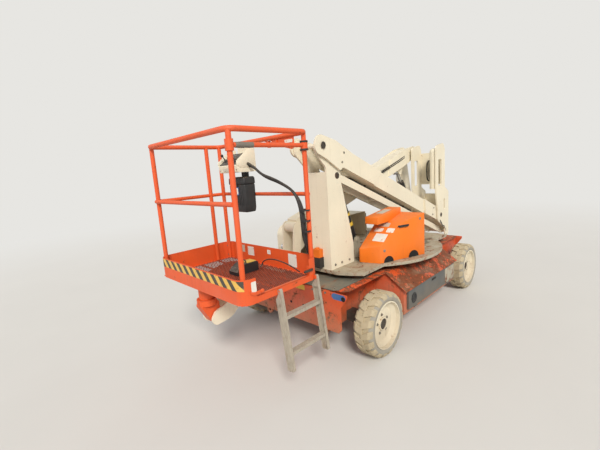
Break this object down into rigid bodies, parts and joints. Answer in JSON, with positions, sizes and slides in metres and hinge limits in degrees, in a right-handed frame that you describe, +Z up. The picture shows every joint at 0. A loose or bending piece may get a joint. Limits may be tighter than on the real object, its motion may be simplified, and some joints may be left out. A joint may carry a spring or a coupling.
{
  "type": "articulating boom lift",
  "caption": "Electric articulating boom lift: four-wheel chassis, swinging turntable, folding tower arm, telescopic boom and jib with a railed work platform.",
  "frame": {"origin": "on the floor under the middle of the stowed machine's bounding box", "axes": "+X points from the upright at the rear to the platform at the front, +Y to the machine's left, +Z up"},
  "size_m": [3.848, 1.75, 1.914],
  "materials": {
    "cream_paint": "satin",
    "orange_paint": "satin",
    "grey_paint": "satin",
    "deck_metal": "worn",
    "black_paint": "satin",
    "bare_steel": "worn",
    "chrome_rod": "polished",
    "aluminium": "worn",
    "tyre": "matt",
    "black_plastic": "matt"
  },
  "bodies": {
    "chassis": {"chassis_frame": "orange_paint", "deck_plates": "deck_metal", "swing_bearing": "bare_steel", "front_axle": "bare_steel", "rear_axle": "bare_steel"},
    "side_door_left": {"side_door_left": "grey_paint"},
    "side_door_right": {"side_door_right": "grey_paint"},
    "knuckle_left": {"steering_knuckle_left": "bare_steel"},
    "knuckle_right": {"steering_knuckle_right": "bare_steel"},
    "wheel_front_left": {"rim_front_left": "cream_paint", "tyre_front_left": "tyre"},
    "wheel_front_right": {"rim_front_right": "cream_paint", "tyre_front_right": "tyre"},
    "wheel_rear_left": {"rim_rear_left": "cream_paint", "tyre_rear_left": "tyre"},
    "wheel_rear_right": {"rim_rear_right": "cream_paint", "tyre_rear_right": "tyre"},
    "turntable": {"turntable_plate": "grey_paint", "tower_support": "cream_paint", "swing_motor": "orange_paint"},
    "hood_left": {"hood_left": "orange_paint"},
    "hood_right": {"hood_right": "cream_paint"},
    "tower_arm": {"tower_arm": "cream_paint"},
    "tower_link": {"tower_link": "cream_paint"},
    "tower_barrel": {"tower_cylinder_barrel": "black_paint"},
    "tower_rod": {"tower_cylinder_rod": "chrome_rod"},
    "upright": {"upright": "cream_paint"},
    "main_boom": {"main_boom": "cream_paint"},
    "fly_boom": {"fly_boom": "cream_paint"},
    "lift_barrel": {"lift_cylinder_barrel": "black_paint"},
    "lift_rod": {"lift_cylinder_rod": "chrome_rod"},
    "tip_bracket": {"tip_bracket": "cream_paint"},
    "jib": {"jib": "cream_paint"},
    "jib_barrel": {"jib_cylinder_barrel": "black_paint"},
    "jib_rod": {"jib_cylinder_rod": "chrome_rod"},
    "rotator": {"rotator_housing": "orange_paint"},
    "platform": {"platform_support": "orange_paint", "platform_rails": "orange_paint", "platform_floor": "bare_steel", "toe_boards": "orange_paint", "platform_console": "cream_paint", "document_box": "black_plastic", "foot_switch": "black_plastic"},
    "entry_bar": {"entry_bar": "orange_paint"},
    "ladder": {"ladder": "aluminium"}
  },
  "joints": [
    {"name": "steer_left", "type": "hinge", "parent": "chassis", "child": "knuckle_left", "pos_m": [0.716, 0.7, 0.28], "axis": [0, 0, 1], "range_deg": [-28, 28]},
    {"name": "wheel_front_left_spin", "type": "hinge", "parent": "knuckle_left", "child": "wheel_front_left", "pos_m": [0.716, 0.786, 0.28], "axis": [0, 1, 0], "continuous": true},
    {"name": "wheel_rear_left_spin", "type": "hinge", "parent": "chassis", "child": "wheel_rear_left", "pos_m": [-1.284, 0.786, 0.28], "axis": [0, 1, 0], "continuous": true},
    {"name": "steer_right", "type": "hinge", "parent": "chassis", "child": "knuckle_right", "pos_m": [0.716, -0.7, 0.28], "axis": [0, 0, 1], "range_deg": [-28, 28]},
    {"name": "wheel_front_right_spin", "type": "hinge", "parent": "knuckle_right", "child": "wheel_front_right", "pos_m": [0.716, -0.786, 0.28], "axis": [0, 1, 0], "continuous": true},
    {"name": "wheel_rear_right_spin", "type": "hinge", "parent": "chassis", "child": "wheel_rear_right", "pos_m": [-1.284, -0.786, 0.28], "axis": [0, 1, 0], "continuous": true},
    {"name": "side_door_left_fold", "type": "hinge", "parent": "chassis", "child": "side_door_left", "pos_m": [-0.284, 0.8253, 0.24], "axis": [-1, 0, 0], "range_deg": [0, 90]},
    {"name": "side_door_right_fold", "type": "hinge", "parent": "chassis", "child": "side_door_right", "pos_m": [-0.284, -0.8253, 0.24], "axis": [1, 0, 0], "range_deg": [0, 90]},
    {"name": "swing", "type": "hinge", "parent": "chassis", "child": "turntable", "pos_m": [-0.284, 0, 0.65], "axis": [0, 0, 1], "range_deg": [-180, 180]},
    {"name": "hood_left_swing", "type": "hinge", "parent": "turntable", "child": "hood_left", "pos_m": [-0.734, 0.384, 0.9], "axis": [0, 0, 1], "range_deg": [0, 90]},
    {"name": "hood_right_swing", "type": "hinge", "parent": "turntable", "child": "hood_right", "pos_m": [-0.784, -0.31, 0.9], "axis": [0, 0, -1], "range_deg": [0, 90]},
    {"name": "tower_lift", "type": "hinge", "parent": "turntable", "child": "tower_arm", "pos_m": [0.816, 0.19, 1.82], "axis": [0, 1, 0], "range_deg": [0, 75]},
    {"name": "tower_link_turn", "type": "hinge", "parent": "turntable", "child": "tower_link", "pos_m": [0.606, 0.19, 1.55], "axis": [0, 1, 0], "range_deg": [0, 75]},
    {"name": "upright_level", "type": "hinge", "parent": "tower_arm", "child": "upright", "pos_m": [-1.65379, 0.19, 0.865], "axis": [0, 1, 0], "range_deg": [-75, 0]},
    {"name": "tower_barrel_turn", "type": "hinge", "parent": "turntable", "child": "tower_barrel", "pos_m": [0.216, 0.19, 0.86], "axis": [0, -1, 0], "range_deg": [0, 11.88]},
    {"name": "tower_rod_slide", "type": "slide", "parent": "tower_barrel", "child": "tower_rod", "axis": [0.4061, 0, 0.9138], "range_m": [0, 0.4509]},
    {"name": "main_lift", "type": "hinge", "parent": "upright", "child": "main_boom", "pos_m": [-1.624, -0.11, 1.76], "axis": [0, -1, 0], "range_deg": [0, 86]},
    {"name": "lift_barrel_turn", "type": "hinge", "parent": "upright", "child": "lift_barrel", "pos_m": [-1.714, -0.11, 0.9], "axis": [0, -1, 0], "range_deg": [0, 17.1]},
    {"name": "lift_rod_slide", "type": "slide", "parent": "lift_barrel", "child": "lift_rod", "axis": [0.5642, 0, 0.8256], "range_m": [0, 0.4944]},
    {"name": "telescope", "type": "slide", "parent": "main_boom", "child": "fly_boom", "axis": [0.9627, 0, -0.2706], "range_m": [0, 0.9]},
    {"name": "tip_level", "type": "hinge", "parent": "fly_boom", "child": "tip_bracket", "pos_m": [0.81642, -0.11, 1.07403], "axis": [0, -1, 0], "range_deg": [-86, 0]},
    {"name": "jib_lift", "type": "hinge", "parent": "tip_bracket", "child": "jib", "pos_m": [0.861, -0.11, 0.715], "axis": [0, -1, 0], "range_deg": [0, 60]},
    {"name": "jib_barrel_turn", "type": "hinge", "parent": "tip_bracket", "child": "jib_barrel", "pos_m": [0.531, -0.243, 0.9], "axis": [0, -1, 0], "range_deg": [-30.6, 0]},
    {"name": "jib_rod_slide", "type": "slide", "parent": "jib_barrel", "child": "jib_rod", "axis": [0.9918, 0, -0.1278], "range_m": [-0.0652, 0]},
    {"name": "platform_level", "type": "hinge", "parent": "jib", "child": "rotator", "pos_m": [1.776, -0.11, 0.5], "axis": [0, -1, 0], "range_deg": [-60, 0]},
    {"name": "platform_rotate", "type": "hinge", "parent": "rotator", "child": "platform", "pos_m": [1.816, -0.11, 0.66], "axis": [0, 0, 1], "range_deg": [-180, 0]},
    {"name": "entry_bar_slide", "type": "slide", "parent": "platform", "child": "entry_bar", "axis": [0, 0, 1], "range_m": [-0.3, 0]},
    {"name": "ladder_fold", "type": "hinge", "parent": "platform", "child": "ladder", "pos_m": [1.436, 0.5743, 0.809], "axis": [1, 0, 0], "range_deg": [0, 165]}
  ],
  "couplings": [
    {"joint": "steer_right", "follows": "steer_left", "ratio": 1},
    {"joint": "tower_link_turn", "follows": "tower_lift", "ratio": 1},
    {"joint": "upright_level", "follows": "tower_lift", "ratio": -1},
    {"joint": "tower_barrel_turn", "follows": "tower_lift", "ratio": 0.15174},
    {"joint": "tower_rod_slide", "follows": "tower_lift", "m_per_rad": 0.34295},
    {"joint": "lift_barrel_turn", "follows": "main_lift", "ratio": 0.19297},
    {"joint": "lift_rod_slide", "follows": "main_lift", "m_per_rad": 0.32807},
    {"joint": "tip_level", "follows": "main_lift", "ratio": -1},
    {"joint": "jib_barrel_turn", "follows": "jib_lift", "ratio": -0.50171},
    {"joint": "jib_rod_slide", "follows": "jib_lift", "m_per_rad": -0.061291},
    {"joint": "platform_level", "follows": "jib_lift", "ratio": -1}
  ]
}
